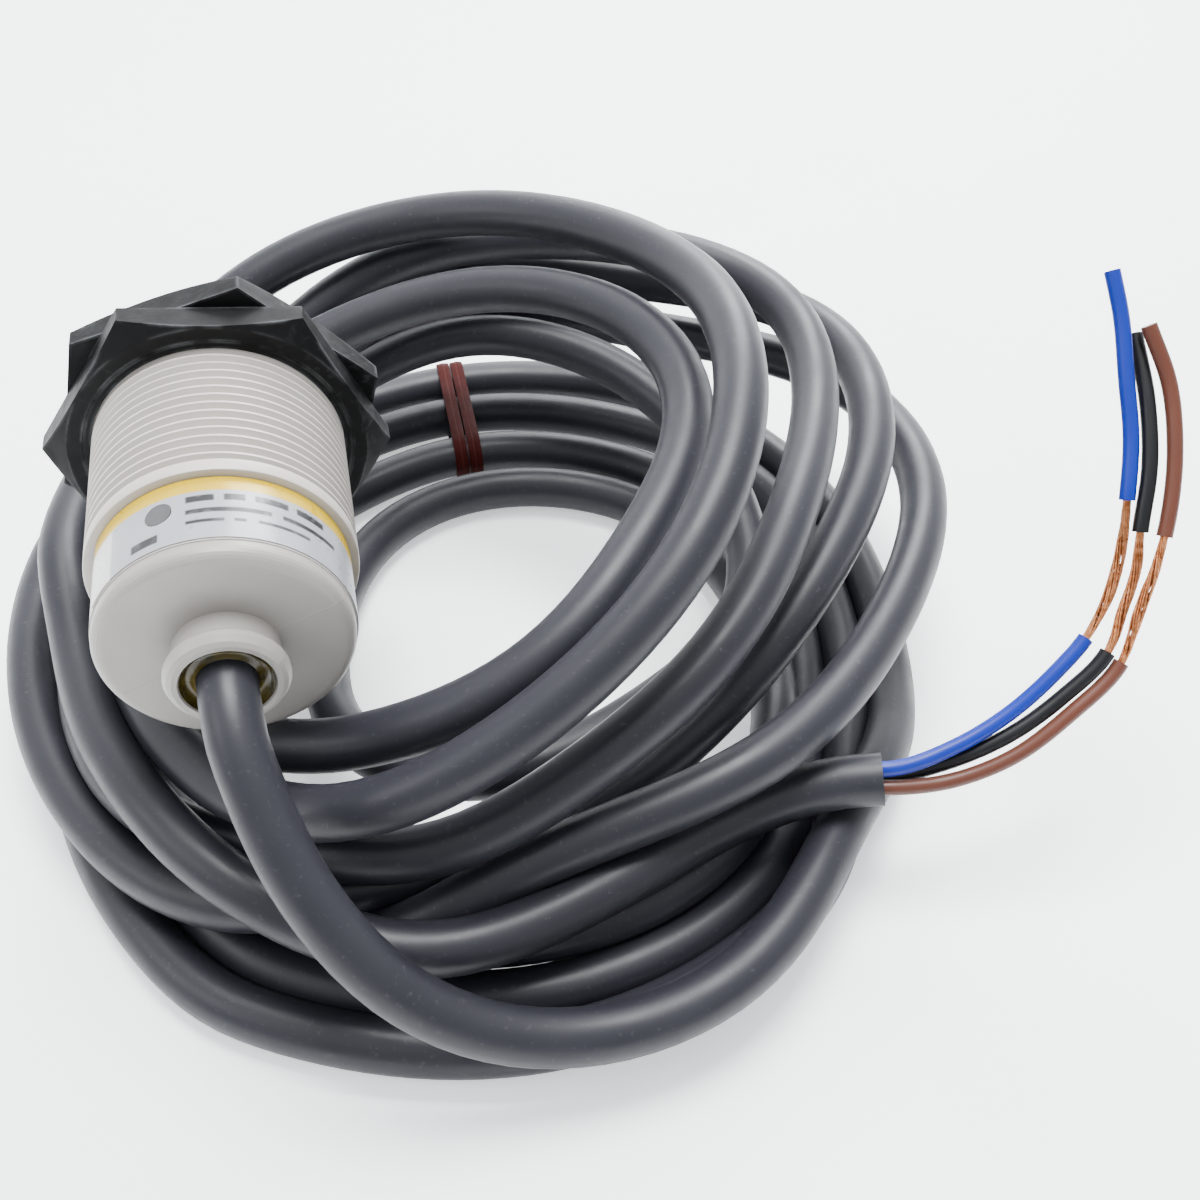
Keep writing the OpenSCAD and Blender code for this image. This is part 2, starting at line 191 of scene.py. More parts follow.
def moulded(name, colour, rough=0.45, contrast=0.06, mottle=90.0, grain=2500.0, depth=4e-6, **sockets):
    """A moulded surface: slightly uneven in colour and gloss, with a fine grain."""
    look = Look(name, **sockets)
    patches = look.spread(look.noise(mottle, 3.0), 0.3, 0.7)
    look.colour(look.blend(patches, shade(colour, 1 - contrast), shade(colour, 1 + contrast)))
    look.rough(look.spread(look.noise(mottle * 3.0, 2.0), 0.3, 0.7, rough - 0.05, rough + 0.05))
    look.relief(look.noise(grain, 2.0), depth)
    return look


IVORY = (0.43, 0.40, 0.37)


def ivory_look():
    return moulded("ivory_plastic", IVORY, 0.42, 0.03, mottle=120.0, depth=6e-6).material


def cap_look():
    look = Look("cap_plastic")
    colour = (0.265, 0.248, 0.23)
    patches = look.spread(look.noise(110.0, 3.0), 0.3, 0.7)
    body = look.blend(patches, shade(colour, 0.97), shade(colour, 1.03))
    # The mould's parting line crosses the flat face through the axis.
    angle = math.radians(20)
    rise = look.math("MULTIPLY", look.z, math.cos(angle))
    run = look.math("MULTIPLY", look.x, math.sin(angle))
    across = look.math("SUBTRACT", rise, run)
    line = look.between(across, -0.00008, 0.00008, 0.00006)
    look.colour(look.blend(look.math("MULTIPLY", line, 0.5), body, shade(colour, 1.18)))
    look.rough(look.spread(look.noise(400.0, 2.0), 0.3, 0.7, 0.34, 0.44))
    height = look.math("ADD", look.noise(2600.0, 2.0), look.math("MULTIPLY", line, 4.0))
    look.relief(height, 6e-6)
    return look.material


def label_look():
    """Silver film with a yellow band, a plain white end and plain printed bars."""
    look = Look("label_film", Metallic=0.1, Specular_IOR_Level=0.4)
    azimuth = look.math("MULTIPLY", look.math("ARCTAN2", look.z, look.x), 180 / math.pi)
    depth = look.math("MULTIPLY", look.y, 1000.0)
    film = look.blend(look.noise(260.0, 3.0), (0.25, 0.25, 0.275), (0.31, 0.31, 0.335))
    white = look.spread(azimuth, 133.0, 134.5, smooth=True)
    film = look.blend(white, film, (0.50, 0.495, 0.48))
    bars = None
    # Rows of bars: (y from, y to), then (azimuth from, azimuth to) of each bar, in mm and degrees
    rows = (
        ((-37.9, -36.9), ((96, 84), (80, 71), (67, 52), (48, 33))),
        ((-39.7, -39.0), ((96, 60), (55, 26))),
        ((-41.2, -40.7), ((96, 80), (76, 71), (66, 42))),
        ((-42.6, -41.4), ((121, 108),)),
    )
    for (low, high), spans in rows:
        for start, end in spans:
            row = look.between(depth, low, high, 0.12)
            bar = look.math("MULTIPLY", row, look.between(azimuth, end, start, 0.6))
            bars = bar if bars is None else look.math("MAXIMUM", bars, bar)
    worn = look.spread(look.noise(900.0, 3.0), 0.25, 0.5, 0.75, 1.0)
    film = look.blend(look.math("MULTIPLY", bars, worn), film, (0.012, 0.012, 0.014))
    yellow = look.spread(depth, -36.15, -36.35, 1.0, 0.0, smooth=True)
    band = look.blend(look.noise(300.0, 2.0), (0.46, 0.295, 0.0), (0.52, 0.345, 0.001))
    look.colour(look.blend(yellow, film, band))
    look.rough(look.spread(look.noise(500.0, 2.0), 0.3, 0.7, 0.26, 0.36))
    look.relief(look.noise(350.0, 2.0), 1.5e-5)
    return look.material


def nut_look(name):
    """Black moulded plastic, whitened by scuffs along its edges."""
    look = Look(name, Specular_IOR_Level=0.14)
    black = look.blend(look.noise(300.0, 3.0), (0.0018, 0.0019, 0.002), (0.0034, 0.0036, 0.004))
    rounded = look.node("ShaderNodeBevel")
    rounded.inputs["Radius"].default_value = 0.0006
    flat = look.node("ShaderNodeNewGeometry")
    turn = look.node("ShaderNodeVectorMath", operation="DOT_PRODUCT")
    look.feed(turn.inputs[0], rounded.outputs[0])
    look.feed(turn.inputs[1], flat.outputs["Normal"])
    edge = look.spread(turn.outputs["Value"], 0.999, 0.93)
    scuffs = look.spread(look.noise(420.0, 6.0, distortion=1.5), 0.52, 0.74)
    edge = look.math("MULTIPLY", edge, look.spread(look.noise(240.0, 4.0), 0.42, 0.66))
    rubbed = look.math("MULTIPLY", scuffs, look.spread(look.noise(70.0, 2.0), 0.46, 0.7, 0.0, 0.3))
    worn = look.math("MAXIMUM", look.math("MULTIPLY", edge, 0.75), rubbed)
    look.colour(look.blend(worn, black, (0.12, 0.125, 0.13)))
    look.rough(look.spread(look.noise(500.0, 3.0), 0.3, 0.7, 0.46, 0.62))
    look.relief(look.math("ADD", look.noise(1800.0, 3.0), look.math("MULTIPLY", scuffs, 1.5)), 1.2e-5)
    return look.material


def resin_look():
    look = Look("cast_resin", Coat_Weight=0.12, Coat_Roughness=0.05, Specular_IOR_Level=0.3)
    cloud = look.spread(look.noise(330.0, 3.0), 0.35, 0.65)
    look.colour(look.blend(cloud, (0.020, 0.014, 0.001), (0.07, 0.05, 0.006)))
    look.rough(look.spread(look.noise(200.0, 1.0), 0.3, 0.7, 0.18, 0.32))
    look.relief(look.noise(380.0, 1.0), 3e-5)
    return look.material


def sheath_look():
    """Satin grey vinyl with faint scuffs and dust."""
    look = Look("cable_sheath", Specular_IOR_Level=0.3)
    grey = (0.0145, 0.0145, 0.0195)
    body = look.blend(look.spread(look.noise(55.0, 2.0), 0.3, 0.7), shade(grey, 0.92), shade(grey, 1.08))
    dust = look.spread(look.noise(1500.0, 4.0), 0.62, 0.78, 0.0, 0.25)
    look.colour(look.blend(dust, body, (0.09, 0.09, 0.10)))
    look.rough(look.spread(look.noise(160.0, 3.0), 0.3, 0.7, 0.38, 0.48))
    waves = look.math("MULTIPLY", look.noise(180.0, 1.0), 6.0)
    look.relief(look.math("ADD", look.noise(900.0, 2.0), waves), 8e-6)
    return look.material


def copper_look():
    look = Look("bare_copper", Metallic=1.0)
    tarnish = look.spread(look.noise(1400.0, 3.0), 0.3, 0.7)
    look.colour(look.blend(tarnish, (0.34, 0.11, 0.035), (0.74, 0.33, 0.15)))
    look.rough(look.spread(look.noise(900.0, 2.0), 0.3, 0.7, 0.22, 0.36))
    look.relief(look.noise(3000.0, 2.0), 5e-6)
    return look.material


def tie_look():
    look = Look("tie_vinyl", Specular_IOR_Level=0.04)
    # A fine line runs along the middle of each of the two bands.
    side = look.math("ABSOLUTE", look.math("SUBTRACT", look.x, TIE_X * MM))
    line = look.between(side, 0.00095, 0.00115, 0.00008)
    body = look.blend(look.noise(500.0, 3.0), (0.022, 0.0035, 0.003), (0.042, 0.007, 0.006))
    look.colour(look.blend(look.math("MULTIPLY", line, 0.7), body, (0.06, 0.016, 0.013)))
    look.rough(look.spread(look.noise(700.0, 2.0), 0.3, 0.7, 0.55, 0.7))
    look.relief(look.math("SUBTRACT", look.noise(1500.0, 2.0), line), 2e-5)
    return look.material


def winding_look():
    """Enamelled wire, laid turn by turn, with painted shade darkening the grooves between turns."""
    look = Look("winding_wire", Metallic=0.8)
    ridges_and_painted_shade = look.math("SINE", look.math("MULTIPLY", look.y, 2 * math.pi / 0.00022))
    # Painted shade: the wire's colour darkens into the grooves between turns, following the turns' ridges.
    look.colour(look.blend(look.spread(ridges_and_painted_shade, -1.0, 1.0), (0.20, 0.06, 0.02), (0.62, 0.25, 0.09)))
    look.rough(look.spread(look.noise(900.0, 2.0), 0.3, 0.7, 0.22, 0.34))
    look.relief(ridges_and_painted_shade, 4e-5)
    return look.material


def board_look():
    """Green laminate with plain tracks."""
    look = Look("board_laminate")
    across = look.math("SINE", look.math("MULTIPLY", look.x, 2 * math.pi / 0.0021))
    along = look.math("SINE", look.math("MULTIPLY", look.y, 2 * math.pi / 0.0047))
    tracks = look.between(look.math("MULTIPLY", across, along), 0.30, 0.55, 0.05)
    look.colour(look.blend(tracks, (0.012, 0.10, 0.035), (0.035, 0.21, 0.075)))
    look.rough(look.spread(look.noise(600.0, 2.0), 0.3, 0.7, 0.3, 0.42))
    look.relief(tracks, 2e-5)
    return look.material


def ended_look(name, body, metal, period, share):
    """Small chips whose ends are tinned, by their place along the board."""
    look = Look(name)
    phase = look.math("ABSOLUTE", look.math("SINE", look.math("MULTIPLY", look.x, math.pi / period)))
    ends = look.spread(phase, share - 0.05, share + 0.05)
    middle = look.blend(look.noise(900.0, 2.0), shade(body, 0.85), shade(body, 1.15))
    look.colour(look.blend(ends, middle, metal))
    look.rough(look.spread(look.noise(800.0, 2.0), 0.3, 0.7, 0.3, 0.45))
    look.relief(look.noise(2500.0, 2.0), 4e-6)
    return look.material


def put_on(name, material):
    """Gives a CAD node one material all over."""
    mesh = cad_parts[name].data
    mesh.materials.clear()
    mesh.materials.append(material)
    for face in mesh.polygons:
        face.material_index = 0


# Building


def new_object(name, data, material, body):
    piece = bpy.data.objects.new(name, data)
    bpy.context.scene.collection.objects.link(piece)
    data.materials.append(material)
    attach(piece, body)
    return piece


def add_line(curve, points, radii=None):
    line = curve.splines.new("POLY")
    line.points.add(len(points) - 1)
    for i, (vertex, place) in enumerate(zip(line.points, points)):
        vertex.co = (place[0] * MM, place[1] * MM, place[2] * MM, 1.0)
        vertex.radius = 1.0 if radii is None else radii[i]
    line.use_smooth = True


def rod(name, lines, diameter, material, sides=6, radii=None):
    """A curve, round in section, along one line or several, in millimetres."""
    curve = bpy.data.curves.new(name, "CURVE")
    curve.dimensions = "3D"
    curve.bevel_depth = diameter / 2 * MM
    curve.bevel_resolution = sides
    curve.use_fill_caps = True
    for points in lines:
        add_line(curve, points, radii)
    return new_object(name, curve, material, SENSOR)


def resample(points, step):
    gaps = np.linalg.norm(np.diff(points, axis=0), axis=1)
    along = np.concatenate([[0.0], np.cumsum(gaps)])
    count = max(2, int(round(along[-1] / step)))
    wanted = np.linspace(0.0, along[-1], count + 1)
    return np.stack([np.interp(wanted, along, points[:, k]) for k in range(3)], 1)


def smooth_line(points, step):
    """Even points along a smooth curve through the given points."""
    points = np.asarray(points, float)
    gaps = np.linalg.norm(np.diff(points, axis=0), axis=1)
    knots = np.concatenate([[0.0], np.cumsum(gaps)])
    slopes = np.empty_like(points)
    slopes[0] = (points[1] - points[0]) / gaps[0]
    slopes[-1] = (points[-1] - points[-2]) / gaps[-1]
    before, after = gaps[:-1, None], gaps[1:, None]
    slopes[1:-1] = (
        (points[1:-1] - points[:-2]) / before * after + (points[2:] - points[1:-1]) / after * before
    ) / (before + after)
    s = np.arange(0.0, knots[-1], step / 4)
    i = np.clip(np.searchsorted(knots, s, side="right") - 1, 0, len(points) - 2)
    h = gaps[i][:, None]
    u = ((s - knots[i]) / gaps[i])[:, None]
    line = (
        (2 * u**3 - 3 * u**2 + 1) * points[i]
        + (u**3 - 2 * u**2 + u) * h * slopes[i]
        + (3 * u**2 - 2 * u**3) * points[i + 1]
        + (u**3 - u**2) * h * slopes[i + 1]
    )
    return resample(np.vstack([line, points[-1]]), step)


# The cable: a lead-out, ten turns round the coil's centre and a cut end

CABLE_D = 6.4
COIL_CENTRE = (33.5, -14.0)
LEAD_OUT = [
    (0, -42.7, 0), (0, -46, 0), (0, -51, 0), (0.1, -53.6, -0.4), (0.4, -57, -2), (1.6, -61.5, -5.6),
    (5, -69, -13), (12, -76, -22), (21, -79.5, -29), (32, -80.5, -32.3), (44, -79.5, -32.3),
    (55, -74, -32.3), (62.8, -66.2, -32.3), (67.2, -58.5, -33.5),
]
CABLE_END = [(66, -57.3, -26.6), (72.5, -58.8, -25.3)]
LOW = FLOOR_Z + CABLE_D / 2
# Every 30 degrees, (radius, z), or a plain radius where the cable lies on the floor.
# The first turn starts at -30 degrees, the others at -120.
TURNS = [
    [54, 54.5, 58.5, 62, 62.5, 60.5, 60, 60.5, 62.3],
    [63.8, 62.6, 57.5, 49.5, 48, 51.5, 52.5, 53.5, 51.5, 52.5, 54.5, 56],
    [58, 57, 53, 44, 41.5, 42.5, 42.7, 43, 40.7, 43, 48, 51],
    [(52.5, -36), (51.5, -33.5), (48, -34.5), (40.5, -36), (35, -38), 35.2, 34, 33, 30.5, 26.5,
     (25.5, -37.5), (29, -34)],
    [(33, -29.5), (33, -27.5), (30.5, -25.5), (33, -27), (35, -27), (38, -23), (43, -19.5),
     (49, -19.5), (46.5, -23), (48, -27), (51.5, -33), (54.5, -33)],
    [(54, -33), (47, -24.5), (50, -19), (52, -19), (60, -19), (63.5, -22), (55, -21), (55.5, -18),
     (53, -22), (66.5, -30), (64.5, -31.5), (61, -32.4)],
    [(54, -32), (41, -29.5), (39.5, -22), (42, -15), (51.5, -11.5), (61.5, -12), (56.5, -13),
     (51, -10), (47, -13), (50, -21), (56.5, -27), (56.5, -27)],
    [(52, -27), (44, -16.4), (40.5, -9), (38, -5), (42.5, -5), (52.5, -4), (52.3, -4), (49.5, -4.5),
     (49, -14), (53, -22), (50, -25), (46, -22)],
    [(41, -13), (36.6, -4.6), (27.5, 1.8), (25.2, 3.3), (24, 4.5), (24.5, 4.2), (27, 2.5),
     (32.5, -1), (39, -7), (49, -17.5), (50, -22), (50.5, -20.5)],
    [(51.5, -15), (43.4, -3), (36.6, 7), (31, 12), (29, 13), (30.5, 11), (35.5, 8.5), (46, 3.5),
     (54.5, -3.5), (60, -18), (55.5, -22), (56, -23)],
    [(57, -28), (52, -30), (50, -28.5)],
]


def laid_cable():
    points = [np.array(p, float) for p in LEAD_OUT]
    for number, turn in enumerate(TURNS):
        start = -30 if number == 0 else -120
        for i, place in enumerate(turn):
            radius, z = place if isinstance(place, tuple) else (place, LOW)
            angle = math.radians(start + 30 * i)
            x = COIL_CENTRE[0] + radius * math.cos(angle)
            y = COIL_CENTRE[1] + radius * math.sin(angle)
            points.append(np.array([x, y, z]))
    points += [np.array(p, float) for p in CABLE_END]
    return np.array(points)


# The sensor, as the settling cable sees it: (y from, y to, radius) of the case and of the nuts
KEEP_OUT = ((-46.5, 0.0, 15.0), (-12.1, -4.0, 20.9))


def settle(line, step, head, tail, rounds=160):
    """Pushes the cable's turns off each other, off the sensor and off the floor, and keeps them smooth.

    The first head points and the last tail points stay where they are. Each round, a point moves by
    its push off touching strands, by its share of straightening, and back towards where it was laid.
    Both of the last two are weaker at the end, so that the pushes win.
    """
    gap = CABLE_D + 0.05
    count = len(line)
    laid = line.copy()
    number = np.arange(count)
    apart = np.abs(number[:, None] - number[None, :]) * step > 2.2 * gap
    free = np.ones((count, 1))
    free[:head] = 0
    free[count - tail:] = 0
    for k in range(rounds):
        offset = line[:, None, :] - line[None, :, :]
        distance = np.linalg.norm(offset, axis=2) + 1e-9
        overlap = np.where(apart & (distance < gap), gap - distance, 0)
        push = ((overlap / distance)[:, :, None] * offset).sum(1)
        touching = np.maximum((overlap > 0).sum(1), 1)[:, None]
        move = 0.45 * push / np.sqrt(touching)
        bend = -line[:-4] + 4 * line[1:-3] - 6 * line[2:-2] + 4 * line[3:-1] - line[4:]
        move[2:-2] += bend * (0.9 if k < rounds - 30 else 0.54) / 16
        move += (laid - line) * (0.03 if k < rounds * 0.6 else 0.005)
        for y_from, y_to, radius in KEEP_OUT:
            off_axis = np.hypot(line[:, 0], line[:, 2]) + 1e-9
            room = radius + CABLE_D / 2 + 0.1
            near = (line[:, 1] > y_from - 3) & (line[:, 1] < y_to + 3) & (off_axis < room)
            shift = np.where(near, np.minimum(room - off_axis, 1.0) * 0.6, 0) / off_axis
            move[:, 0] += shift * line[:, 0]
            move[:, 2] += shift * line[:, 2]
        line = line + move * free
        line[:, 2] = np.maximum(line[:, 2], LOW)
    return line


def build_cable(material):
    step = 5.0
    settled = settle(smooth_line(laid_cable(), step), step, head=10, tail=3)
    line = smooth_line(settled, 2.5)
    cable = rod("cable", [line], CABLE_D, material, sides=8)
    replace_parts(cable, "cable_lead_out", "cable_coil", "cable_end")
    return line


# The tie: two narrow bands, side by side, drawn tight round the lower strands

TIE_X = 33.5
TIE_W = 4.4


def tie_outline(line):
    """The tight loop round the low strands where they cross the tie's plane, as (y, z) points."""
    rim = []
    for a, b in zip(line[:-1], line[1:]):
        if (a[0] - TIE_X) * (b[0] - TIE_X) > 0 or a[0] == b[0]:
            continue
        cross = a + (b - a) * (TIE_X - a[0]) / (b[0] - a[0])
        if 19 < cross[1] < 55 and cross[2] < LOW + 2:
            for angle in np.linspace(0, 2 * math.pi, 25)[:-1]:
                radius = CABLE_D / 2 + 0.15
                height = cross[2] + radius * math.sin(angle)
                rim.append((cross[1] + radius * math.cos(angle), max(height, FLOOR_Z + 0.1)))
    rim = sorted(set(rim))

    def turn(a, b, c):
        return (b[0] - a[0]) * (c[1] - a[1]) - (b[1] - a[1]) * (c[0] - a[0])

    def half(points):
        """Half of the points' convex hull."""
        kept = []
        for p in points:
            while len(kept) > 1 and turn(kept[-2], kept[-1], p) <= 0:
                kept.pop()
            kept.append(p)
        return kept[:-1]

    return half(rim) + half(rim[::-1])


def build_tie(line, material):
    outline = np.array([(0.0, y, z) for y, z in tie_outline(line)])
    outline = resample(np.vstack([outline, outline[:1]]), 1.2)[:-1]
    count = len(outline)
    mesh = bmesh.new()
    for low_x, high_x in ((-TIE_W / 2, -0.12), (0.12, TIE_W / 2)):
        # One band's section, as (x, height above the outline)
        middle = (low_x + high_x) / 2
        section = ((low_x, 0.0), (high_x, 0.0), (high_x, 0.35), (middle, 0.5), (low_x, 0.35))
        rings = []
        for i in range(count):
            along = outline[(i + 1) % count] - outline[i - 1]
            out = np.array([0.0, along[2], -along[1]])
            out /= np.linalg.norm(out)
            ring = []
            for x, lift in section:
                place = outline[i] + out * lift
                height = max(place[2], FLOOR_Z + 0.02)
                ring.append(mesh.verts.new(((TIE_X + x) * MM, place[1] * MM, height * MM)))
            rings.append(ring)
        for ring, after in zip(rings, rings[1:] + rings[:1]):
            for k in range(len(section)):
                m = (k + 1) % len(section)
                mesh.faces.new((ring[k], ring[m], after[m], after[k]))
    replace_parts(finish_mesh("tie", mesh, material, sharp=40), "cable_tie")


# The three conductors: insulation, bared strands, and the slug of insulation left on the tip

WIRE_D = 1.9
STRAND_D = 0.27
STRANDS = 11
# The points of each route between which the copper is bare
BARE_FROM = 4
BARE_TO = 7
# From a conductor's first point, back to where it lies inside the sheath
INTO_SHEATH = (-4.0, 1.3, -0.4)
CONDUCTORS = {
    "blue": [
        (73.1, -58.6, -23.7), (81, -58.3, -22), (88, -57, -19), (94, -55, -15), (98, -53, -12),
        (101.2, -50.2, -8.2), (103.2, -46.8, -3.4), (104, -44, 1),
        (105.3, -39.5, 6), (105.6, -34.5, 11.5), (105.9, -29.5, 16.8), (105.5, -26, 20.5),
    ],
    "black": [
        (73.1, -57.8, -26.3), (80.5, -58.6, -24.4), (88, -58.6, -20.9), (94.5, -57.1, -17.2), (100, -55, -13),
        (102.6, -51.8, -9), (104.4, -49.2, -5.2), (105, -47, -2),
        (107, -42, 4), (108, -36.5, 9), (108.2, -30, 14),
    ],
    "brown": [
        (73.1, -59.9, -25.7), (80, -60.8, -25.2), (87.6, -60.8, -22.5), (94.8, -59, -18.4),
        (101.6, -56, -13.8), (103.9, -53, -9.4), (105.9, -50.6, -5.6), (107.6, -48, -2),
        (110, -41.5, 5.5), (110.4, -36, 11), (108.6, -31.5, 16.2),
    ],
}


def strand_lines(core, seed):
    """Fine strands twisted round a core line. They loosen towards the middle."""
    count = len(core)
    along = np.gradient(core, axis=0)
    along /= np.linalg.norm(along, axis=1)[:, None]
    across = np.cross(along, (0.0, -1.0, 1.0))
    across /= np.linalg.norm(across, axis=1)[:, None]
    up = np.cross(across, along)
    part = np.linspace(0, 1, count)
    chance = np.random.default_rng(seed)
    lines = [core]
    for number in range(STRANDS):
        loose = 0.30 + (0.16 + 0.16 * chance.random()) * np.sin(math.pi * part)
        wander = 0.5 * chance.random() * np.sin(2 * math.pi * part)
        angle = 2 * math.pi * number / STRANDS + 5.5 * part + wander
        lines.append(core + (loose * np.cos(angle))[:, None] * across + (loose * np.sin(angle))[:, None] * up)
    return lines


def build_conductor(name, material, copper, seed):
    points = CONDUCTORS[name]
    inside = tuple(a + b for a, b in zip(points[0], INTO_SHEATH))
    route = smooth_line([inside] + points, 0.4)
    start, end = (int(np.argmin(np.linalg.norm(route - points[k], axis=1))) for k in (BARE_FROM, BARE_TO))
    wire = rod(name + "_lead", [route[: start + 1]], WIRE_D, material)
    lines = strand_lines(route[start - 2:end + 3], seed)
    strands = rod(name + "_copper", lines, STRAND_D, copper, sides=2)
    slug = rod(name + "_tip", [route[end:]], WIRE_D, material)
    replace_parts(wire, name + "_wire")
    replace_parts(strands, name + "_strands")
    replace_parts(slug, name + "_slug")


# The threaded case, with a true helical thread

PITCH = 1.5
CREST_R = 15.0
ROOT_R = CREST_R - 0.6134 * PITCH  # the depth of a metric thread
THREAD_FRONT = -0.8
THREAD_REAR = -32.3
COLLAR_REAR = -34.0
CASE_REAR = -43.8
SEAT_R = 13.9
BORE_R = 12.4


def turned_vertex(mesh, radius, y, column, columns):
    angle = -2 * math.pi * column / columns
    return mesh.verts.new((radius * math.cos(angle) * MM, y * MM, radius * math.sin(angle) * MM))


def turned(mesh, columns, outline):
    """A surface of revolution about the sensor's axis through (radius, y) points."""
    rings = [[turned_vertex(mesh, radius, y, k, columns) for k in range(columns)] for radius, y in outline]
    for a, b in zip(rings[:-1], rings[1:]):
        for k in range(columns):
            after = (k + 1) % columns
            mesh.faces.new((a[k], a[after], b[after], b[k]))
    return rings


def finish_mesh(name, mesh, material, sharp=30):
    """Turns a bmesh into a piece on the sensor, smooth except at edges sharper than the given angle."""
    bmesh.ops.remove_doubles(mesh, verts=mesh.verts, dist=2e-6)
    bmesh.ops.recalc_face_normals(mesh, faces=mesh.faces)
    data = bpy.data.meshes.new(name)
    mesh.to_mesh(data)
    mesh.free()
    for face in data.polygons:
        face.use_smooth = True
    data.set_sharp_from_angle(angle=math.radians(sharp))
    return new_object(name, data, material, SENSOR)


def build_resin(material):
    """Resin cast round the cable in the boss's mouth. It creeps up both, a little unevenly."""
    columns = 64
    mesh = bmesh.new()
    rings = turned(mesh, columns, [
        (3.24, -48.2), (3.24, -50.35), (3.4, -50.2), (3.7, -49.95), (4.05, -49.85), (4.4, -49.95),
        (4.65, -50.25), (4.8, -50.65), (4.9, -50.86), (4.88, -50.5), (4.88, -48.2), (3.24, -48.2),
    ])
    for ring in rings[2:7]:
        for k, vertex in enumerate(ring):
            angle = 2 * math.pi * k / columns
            vertex.co.y += (0.10 * math.sin(2 * angle + 0.6) + 0.06 * math.sin(5 * angle)) * MM
    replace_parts(finish_mesh("resin", mesh, material, sharp=60), "resin_seal")


def build_case(material):
    columns = 120
    # (place in one pitch, radius): root, rising flank, crest, falling flank
    profile = ((0.0, ROOT_R), (1 / 12, ROOT_R), (0.40, CREST_R), (0.60, CREST_R), (11 / 12, ROOT_R))
    rows_per_turn = len(profile)
    turns = int((THREAD_FRONT - THREAD_REAR) / PITCH) + 3
    mesh = bmesh.new()

    def vertex(radius, y, column):
        return turned_vertex(mesh, radius, y, column, columns)

    grid = []
    for row in range(turns * rows_per_turn):
        part, radius = profile[row % rows_per_turn]
        turn = row // rows_per_turn - 1
        ring = []
        for column in range(columns):
            y = THREAD_FRONT - PITCH * (turn + part + column / columns)
            reach = ROOT_R + max(0.0, THREAD_FRONT - y) * 0.9
            if y >= THREAD_FRONT:
                ring.append(vertex(ROOT_R, THREAD_FRONT, column))
            elif y <= THREAD_REAR:
                ring.append(vertex(CREST_R, THREAD_REAR, column))
            else:
                ring.append(vertex(min(radius, reach), y, column))
        grid.append(ring)
    for row, (a, b) in enumerate(zip(grid[:-1], grid[1:])):
        for column in range(columns - 1):
            mesh.faces.new((a[column], a[column + 1], b[column + 1], b[column]))
        # The last column meets the first one turn further on.
        after = row + rows_per_turn
        if after + 1 < len(grid):
            mesh.faces.new((a[-1], grid[after][0], grid[after + 1][0], b[-1]))
    bmesh.ops.remove_doubles(mesh, verts=mesh.verts, dist=2e-6)
    bmesh.ops.dissolve_degenerate(mesh, edges=mesh.edges, dist=1e-6)

    front = turned(mesh, columns, [
        (ROOT_R - 6, 0.0), (ROOT_R - 0.75, 0.0), (ROOT_R - 0.45, -0.06), (ROOT_R - 0.1, THREAD_FRONT / 2),
        (ROOT_R, THREAD_FRONT),
    ])
    mesh.faces.new(front[0])
    back = turned(mesh, columns, [
        (CREST_R, THREAD_REAR), (CREST_R, COLLAR_REAR + 0.25), (CREST_R - 0.08, COLLAR_REAR + 0.07),
        (CREST_R - 0.25, COLLAR_REAR), (SEAT_R, COLLAR_REAR), (SEAT_R, CASE_REAR), (BORE_R, CASE_REAR),
        (BORE_R, -1.0), (BORE_R - 6, -1.0),
    ])
    mesh.faces.new(back[-1])
    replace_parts(finish_mesh("barrel", mesh, material), "threaded_case")


def soften(name, width, segments=2, smooth_under=35):
    """Rounds the hard edges of a CAD node and shades it smoothly."""
    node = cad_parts[name]
    for face in node.data.polygons:
        face.use_smooth = True
    node.data.set_sharp_from_angle(angle=math.radians(smooth_under))
    if width:
        bevel = node.modifiers.new("rounded", "BEVEL")
        bevel.width = width * MM
        bevel.segments = segments
        bevel.limit_method = "ANGLE"
        bevel.angle_limit = math.radians(30)
        bevel.harden_normals = True


def build_floor():
    """A pale sheet that runs up into a wall far behind."""
    mesh = bmesh.new()
    line = [(-1.5, 0.0), (0.16, 0.0)]
    line += [(0.16 + 0.5 * math.sin(a), 0.5 - 0.5 * math.cos(a)) for a in np.linspace(0.1, math.pi / 2, 14)]
    line.append((0.66, 1.6))
    rows = [[mesh.verts.new((x, y, FLOOR_Z * MM + z)) for x in (-2.0, 2.0)] for y, z in line]
    for a, b in zip(rows[:-1], rows[1:]):
        mesh.faces.new((a[0], a[1], b[1], b[0])).smooth = True
    data = bpy.data.meshes.new("floor")
    mesh.to_mesh(data)
    mesh.free()
    floor = bpy.data.objects.new("floor", data)
    bpy.context.scene.collection.objects.link(floor)
    look = Look("floor_paper", Emission_Color=(0.96, 0.985, 1.0, 1.0), Emission_Strength=0.7)
    look.colour(look.blend(look.noise(6.0, 2.0), (0.91, 0.925, 0.935), (0.94, 0.95, 0.96)))
    look.rough(look.spread(look.noise(40.0, 2.0), 0.3, 0.7, 0.6, 0.75))
    data.materials.append(look.material)


place_camera()
light_studio()
build_floor()

sheath = sheath_look()
ivory = ivory_look()
copper = copper_look()
insulation = {
    "blue": moulded("blue_insulation", (0.002, 0.016, 0.24), 0.42, 0.08, Specular_IOR_Level=0.3).material,
    "black": moulded("black_insulation", (0.003, 0.003, 0.004), 0.42, 0.10, Specular_IOR_Level=0.3).material,
    "brown": moulded("brown_insulation", (0.085, 0.026, 0.015), 0.42, 0.08, Specular_IOR_Level=0.3).material,
}

cable_line = build_cable(sheath)
build_tie(cable_line, tie_look())
for seed, conductor in enumerate(CONDUCTORS):
    build_conductor(conductor, insulation[conductor], copper, seed)
build_case(ivory)
build_resin(resin_look())

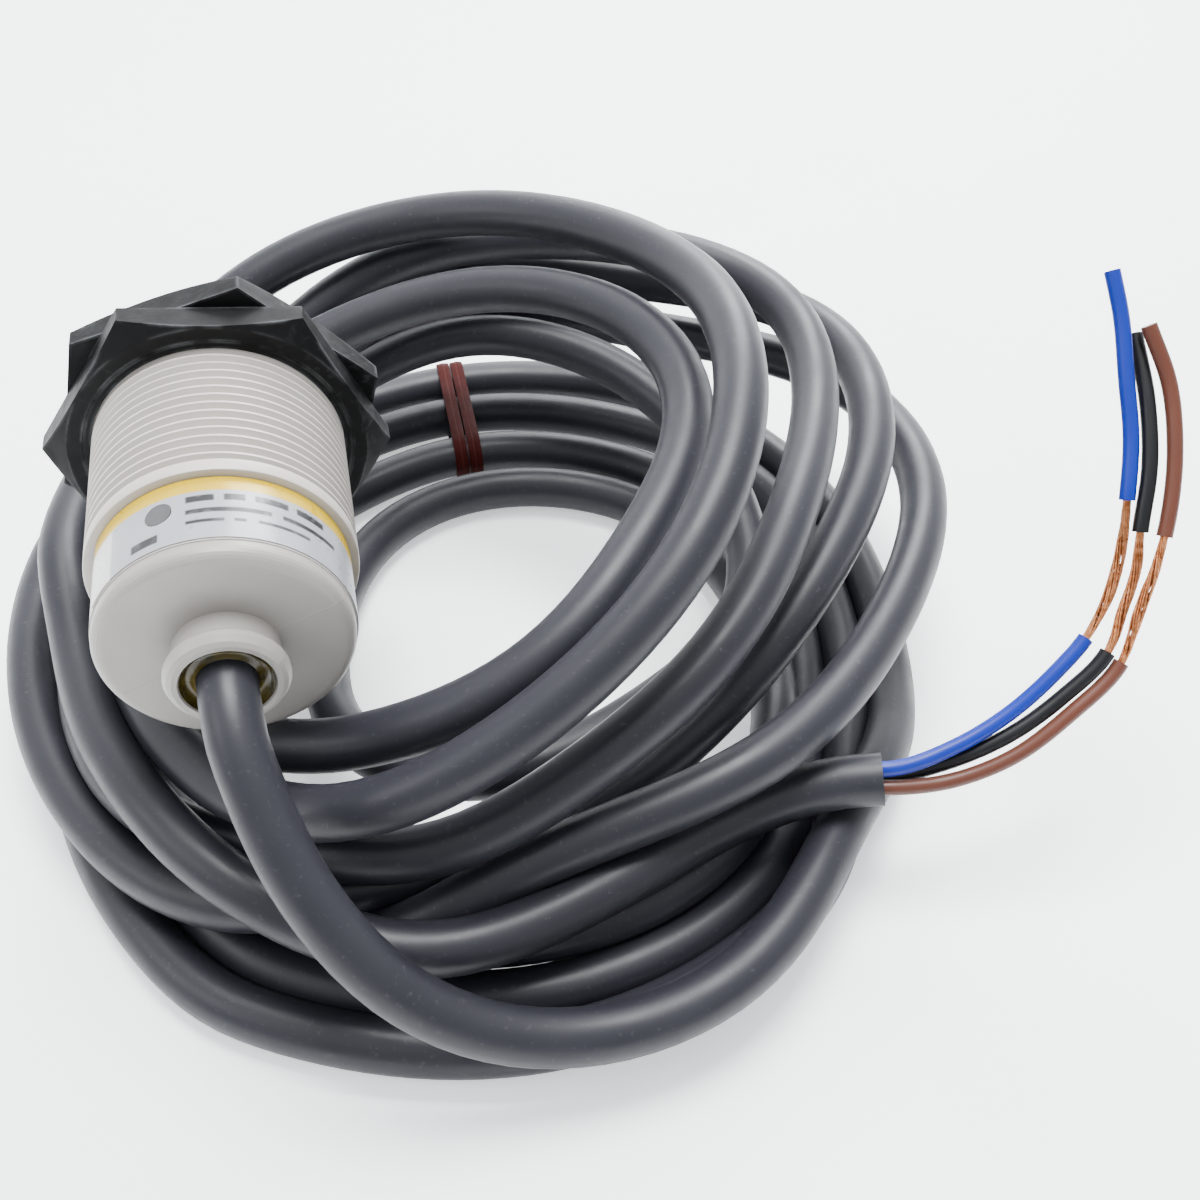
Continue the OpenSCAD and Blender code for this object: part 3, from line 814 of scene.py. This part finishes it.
black_plastic = moulded("holder_plastic", (0.015, 0.015, 0.016), 0.5, 0.12).material
CAD_LOOKS = {
    "rear_cap": cap_look(),
    "label": label_look(),
    "light_pipe": moulded("window_lens", (0.035, 0.036, 0.038), 0.3, 0.05, Coat_Weight=0.3).material,
    "front_nut": nut_look("front_nut_plastic"),
    "rear_nut": nut_look("rear_nut_plastic"),
    "front_nut_thread": nut_look("front_bore_plastic"),
    "rear_nut_thread": nut_look("rear_bore_plastic"),
    "ferrite_core": moulded("ferrite", (0.030, 0.030, 0.032), 0.55, 0.25, mottle=900.0, depth=2e-5).material,
    "coil_bobbin": moulded("bobbin_plastic", (0.72, 0.66, 0.52), 0.4, 0.04).material,
    "coil_winding": winding_look(),
    "coil_leads": moulded("lead_wire", (0.55, 0.22, 0.09), 0.28, 0.10, Metallic=0.8).material,
    "shield_ring": moulded("shield_brass", (0.62, 0.43, 0.14), 0.3, 0.08, Metallic=1.0).material,
    "core_holder": black_plastic,
    "circuit_board": board_look(),
    "oscillator_ic": moulded("chip_epoxy", (0.016, 0.016, 0.017), 0.5, 0.15, grain=4000.0).material,
    "output_transistor": moulded("transistor_epoxy", (0.018, 0.018, 0.019), 0.45, 0.15, grain=4000.0).material,
    "protection_diode": moulded("diode_glass", (0.22, 0.045, 0.02), 0.12, 0.15, Coat_Weight=0.5).material,
    "capacitors": ended_look("capacitor_ceramic", (0.40, 0.26, 0.13), (0.66, 0.66, 0.68), 0.0060, 0.16),
    "resistors": ended_look("resistor_ceramic", (0.02, 0.02, 0.025), (0.66, 0.66, 0.68), 0.0025, 0.30),
    "indicator_led": moulded("led_epoxy", (0.78, 0.70, 0.48), 0.25, 0.05).material,
    "cable_clamp": black_plastic,
    "potting_plug": moulded("potting_epoxy", (0.10, 0.08, 0.03), 0.3, 0.2, mottle=200.0).material,
    "brown_tail": insulation["brown"],
    "blue_tail": insulation["blue"],
    "black_tail": insulation["black"],
}
NUT_EDGE = 0.22
for node_name, material in CAD_LOOKS.items():
    put_on(node_name, material)
    soften(node_name, NUT_EDGE if node_name in ("front_nut", "rear_nut") else 0)
